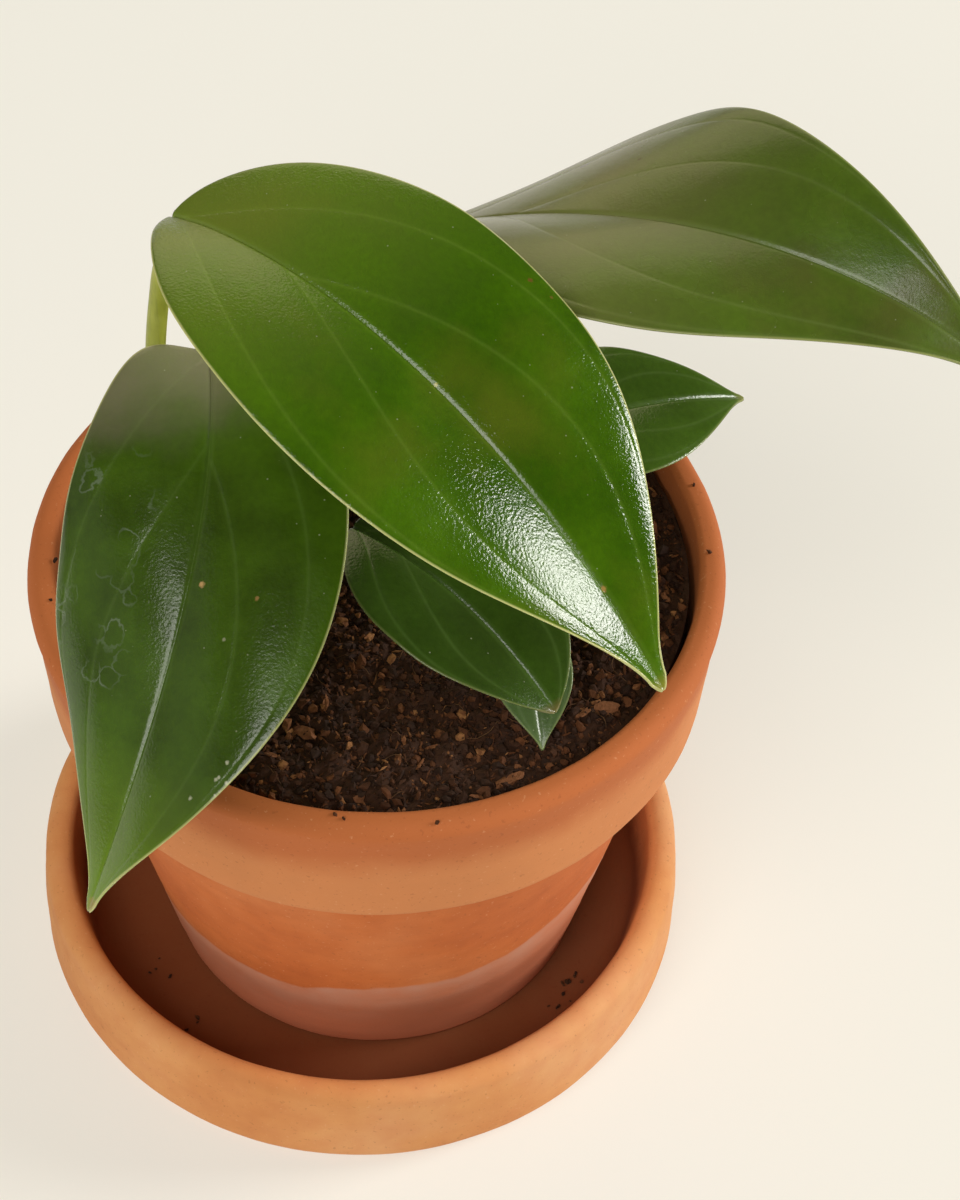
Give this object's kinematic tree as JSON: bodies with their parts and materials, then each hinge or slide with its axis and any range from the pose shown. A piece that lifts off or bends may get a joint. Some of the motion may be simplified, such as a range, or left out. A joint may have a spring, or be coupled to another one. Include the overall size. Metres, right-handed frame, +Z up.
{
  "type": "potted dragon tail philodendron",
  "caption": "Young climbing aroid with broad pointed leaves on bent stalks, in a collared terracotta pot of soil that stands on a round saucer.",
  "frame": {"origin": "centre of the saucer's flat underside", "axes": "+Z up; -Y is the side that most of the leaf tips lean to; +X is to the right of a viewer on that side"},
  "size_m": [0.163, 0.1419, 0.1865],
  "materials": {
    "saucer_terracotta": "matte",
    "pot_terracotta": "matte",
    "potting_soil": "matte",
    "vine_skin": "satin",
    "leaf_stalk": "satin",
    "young_leaf": "gloss",
    "mature_leaf": "gloss"
  },
  "bodies": {
    "root": {"saucer": "saucer_terracotta", "pot": "pot_terracotta", "soil": "potting_soil", "vine_left": "vine_skin", "vine_back": "vine_skin", "stalk_centre": "leaf_stalk", "stalk_left": "leaf_stalk", "stalk_right": "leaf_stalk", "stalk_back": "leaf_stalk", "stalk_low": "leaf_stalk", "stalk_small": "leaf_stalk", "leaf_centre": "young_leaf", "leaf_left": "mature_leaf", "leaf_right": "mature_leaf", "leaf_back": "mature_leaf", "leaf_low": "mature_leaf", "leaf_small": "mature_leaf"}
  },
  "joints": []
}
